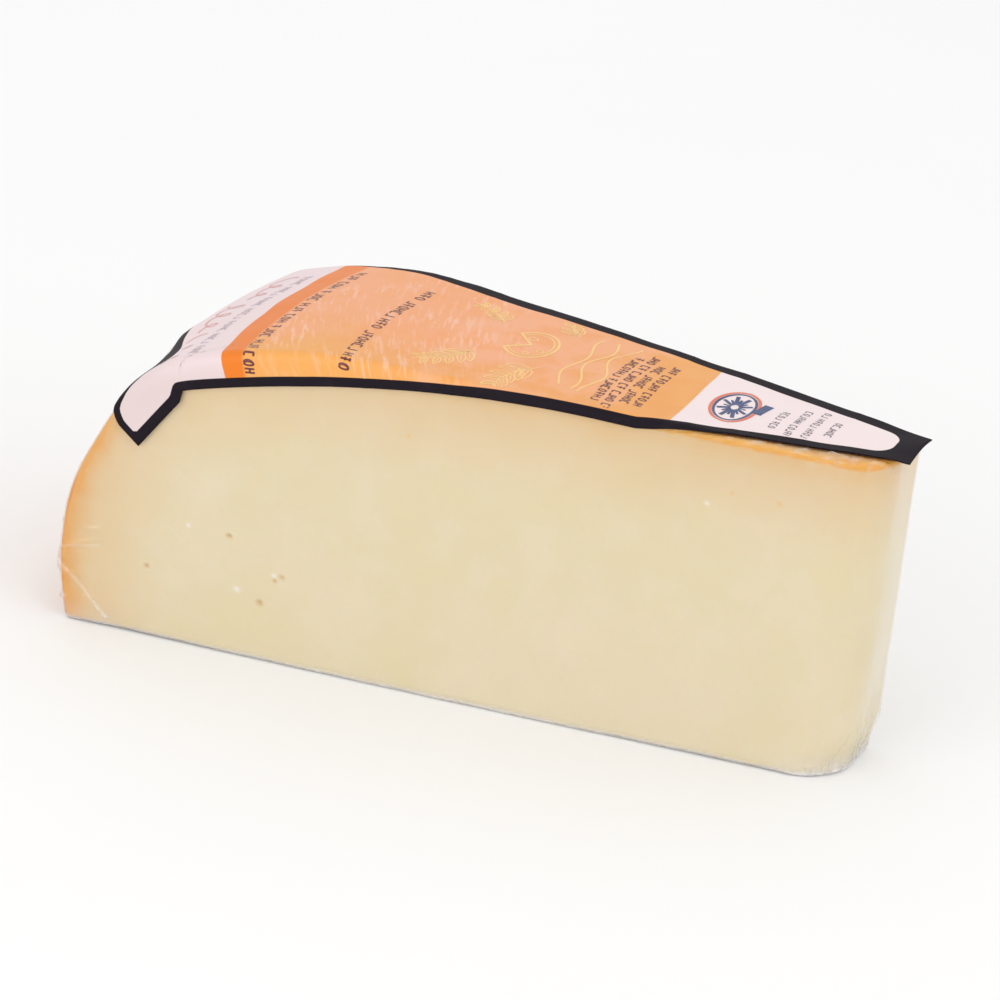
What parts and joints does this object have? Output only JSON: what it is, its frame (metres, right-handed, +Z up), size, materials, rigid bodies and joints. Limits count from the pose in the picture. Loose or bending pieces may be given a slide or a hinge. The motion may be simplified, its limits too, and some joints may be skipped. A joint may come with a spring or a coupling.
{
  "type": "gouda wedge",
  "caption": "Wedge of gouda in clear shrink film: flat cut base, two cut faces, rind curving over the shoulder, blunt nose, and a tapered printed label folded over the long edges.",
  "frame": {"origin": "centre of the footprint of the whole, on the face it rests on", "axes": "+X toward the nose, the near cut face looks to -Y, +Z up"},
  "size_m": [0.126, 0.054, 0.0517],
  "materials": {
    "cheese": "smooth waxy paste, orange at the rind",
    "film": "clear glossy shrink film",
    "label": "glossy coated label, printed"
  },
  "bodies": {
    "root": {"cheese_wedge": "cheese", "shrink_film": "film", "top_label": "label"}
  },
  "joints": []
}
